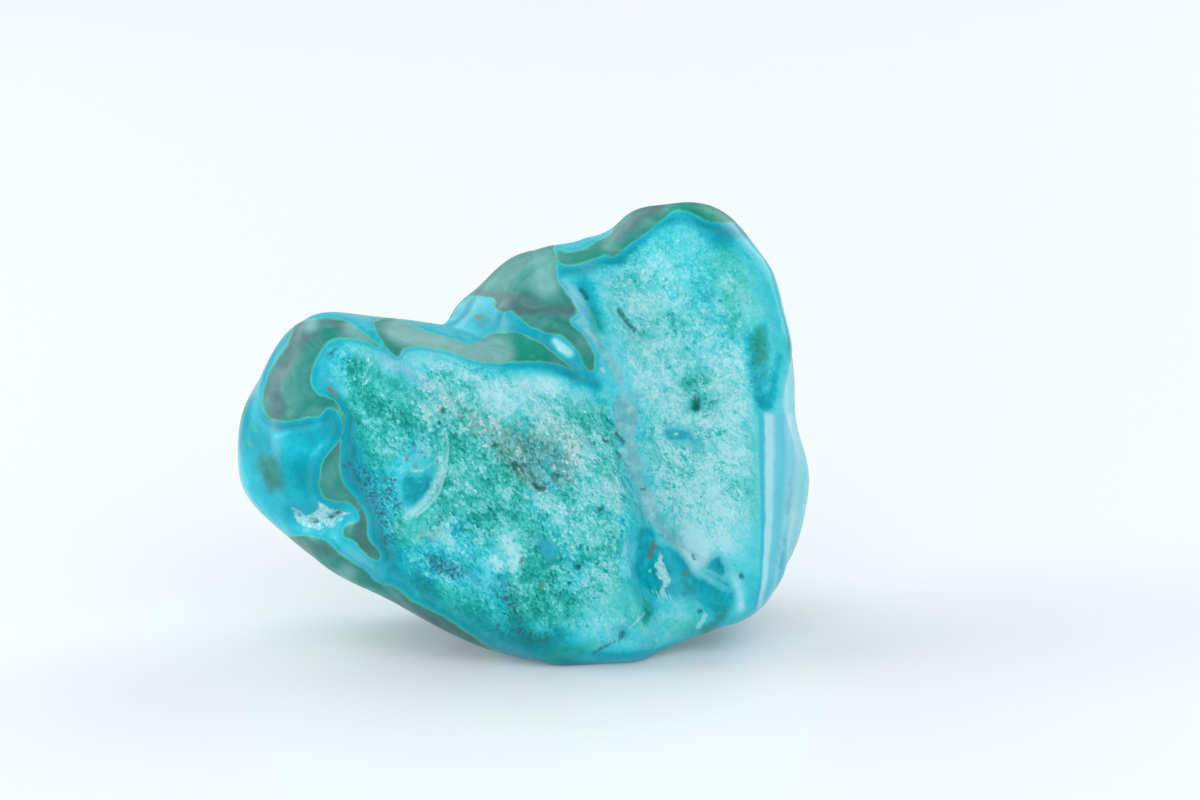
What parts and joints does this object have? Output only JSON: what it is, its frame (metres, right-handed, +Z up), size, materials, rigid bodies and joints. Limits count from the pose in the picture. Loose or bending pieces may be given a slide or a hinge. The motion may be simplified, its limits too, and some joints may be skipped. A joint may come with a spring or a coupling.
{
  "type": "chrysocolla specimen",
  "caption": "Polished freeform of chrysocolla and malachite, heart-like with a long low lobe, a tall lobe and a dome between them, standing on a small flat base.",
  "frame": {"origin": "under the middle of the stone's box, at the height of the flat base it stands on", "axes": "+X to the right with the tall lobe, -Y out of the broad front faces towards the viewer, +Z up"},
  "size_m": [0.0572, 0.0376, 0.0427],
  "materials": {
    "stone": "polished on the sides and top, fine-grained and half matte on the broad front faces"
  },
  "bodies": {
    "root": {"stone": "stone"}
  },
  "joints": []
}
